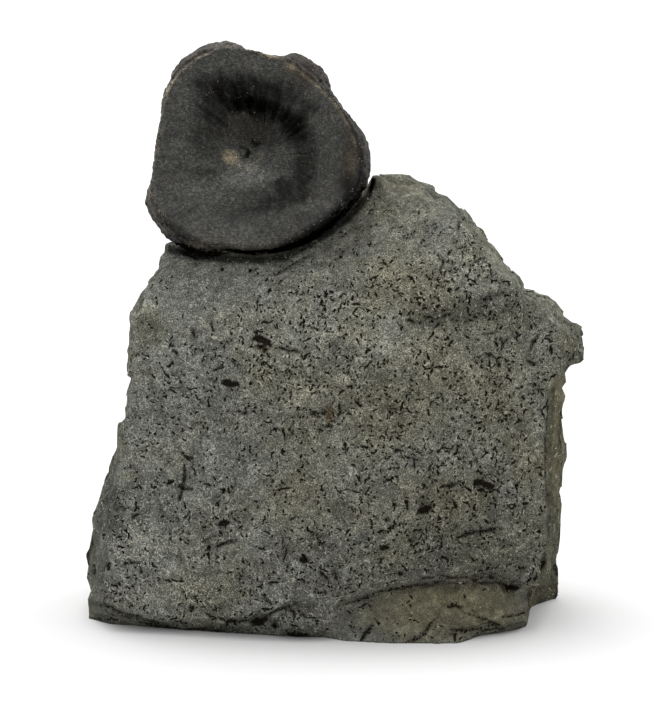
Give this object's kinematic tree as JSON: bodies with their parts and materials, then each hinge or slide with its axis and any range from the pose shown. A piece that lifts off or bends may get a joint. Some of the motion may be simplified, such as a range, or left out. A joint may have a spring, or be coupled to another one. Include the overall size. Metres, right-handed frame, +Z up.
{
  "type": "fossil ichthyosaur vertebra",
  "caption": "Dark fossil vertebra with a deep round bowl, seated on a rough block of speckled grey mudstone that stands on a flat base.",
  "frame": {"origin": "centre of the object's box at the level of the flat base", "axes": "+Z up, -Y towards the vertebra's bowl and the speckled front face, +X to the right as seen from the front"},
  "size_m": [0.136, 0.0778, 0.1562],
  "materials": {
    "speckled_mudstone": "matt grey-olive mudstone with dark dash-shaped flecks, pale grains and rusty spots",
    "dark_fossil_bone": "near-black mineralised bone with a faint sheen, a granular brown rim and a pale patch in the bowl"
  },
  "bodies": {
    "root": {"matrix_block": "speckled_mudstone", "vertebra": "dark_fossil_bone"}
  },
  "joints": []
}
